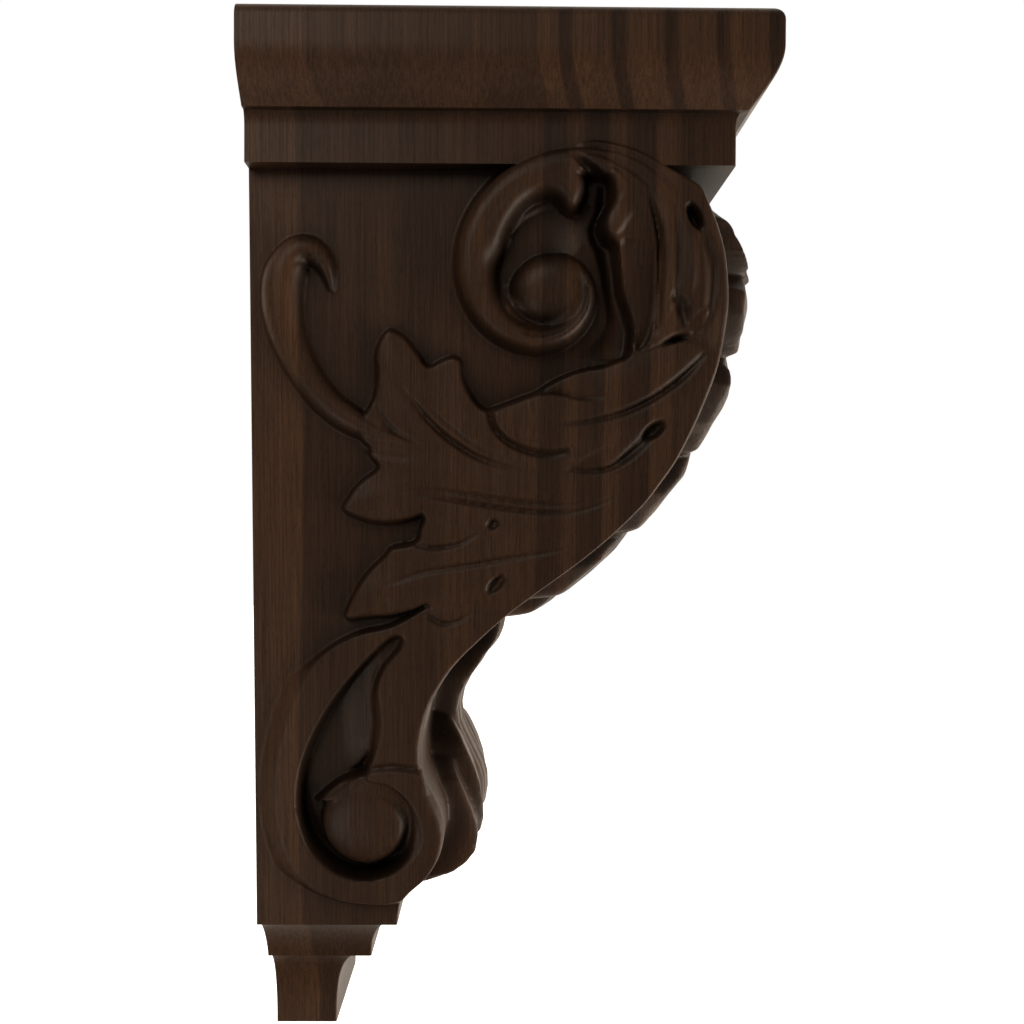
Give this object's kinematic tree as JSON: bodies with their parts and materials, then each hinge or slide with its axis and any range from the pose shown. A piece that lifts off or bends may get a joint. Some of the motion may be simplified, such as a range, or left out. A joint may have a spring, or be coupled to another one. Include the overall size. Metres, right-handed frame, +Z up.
{
  "type": "wooden corbel bracket",
  "caption": "Carved wooden corbel with a crown moulding, scrolled S-curve sides, acanthus leaves and a stepped foot, fixed to a wall to carry a shelf or counter.",
  "frame": {"origin": "centre of the flat back, where the bracket is fixed to the wall", "axes": "+Y into the wall, +Z up, X along the width; the front looks towards -Y"},
  "size_m": [0.1752, 0.1732, 0.3556],
  "materials": {
    "wood": "dark walnut stain, satin lacquer, fine vertical grain with broad lighter and darker stripes"
  },
  "bodies": {
    "root": {"corbel": "wood"}
  },
  "joints": []
}
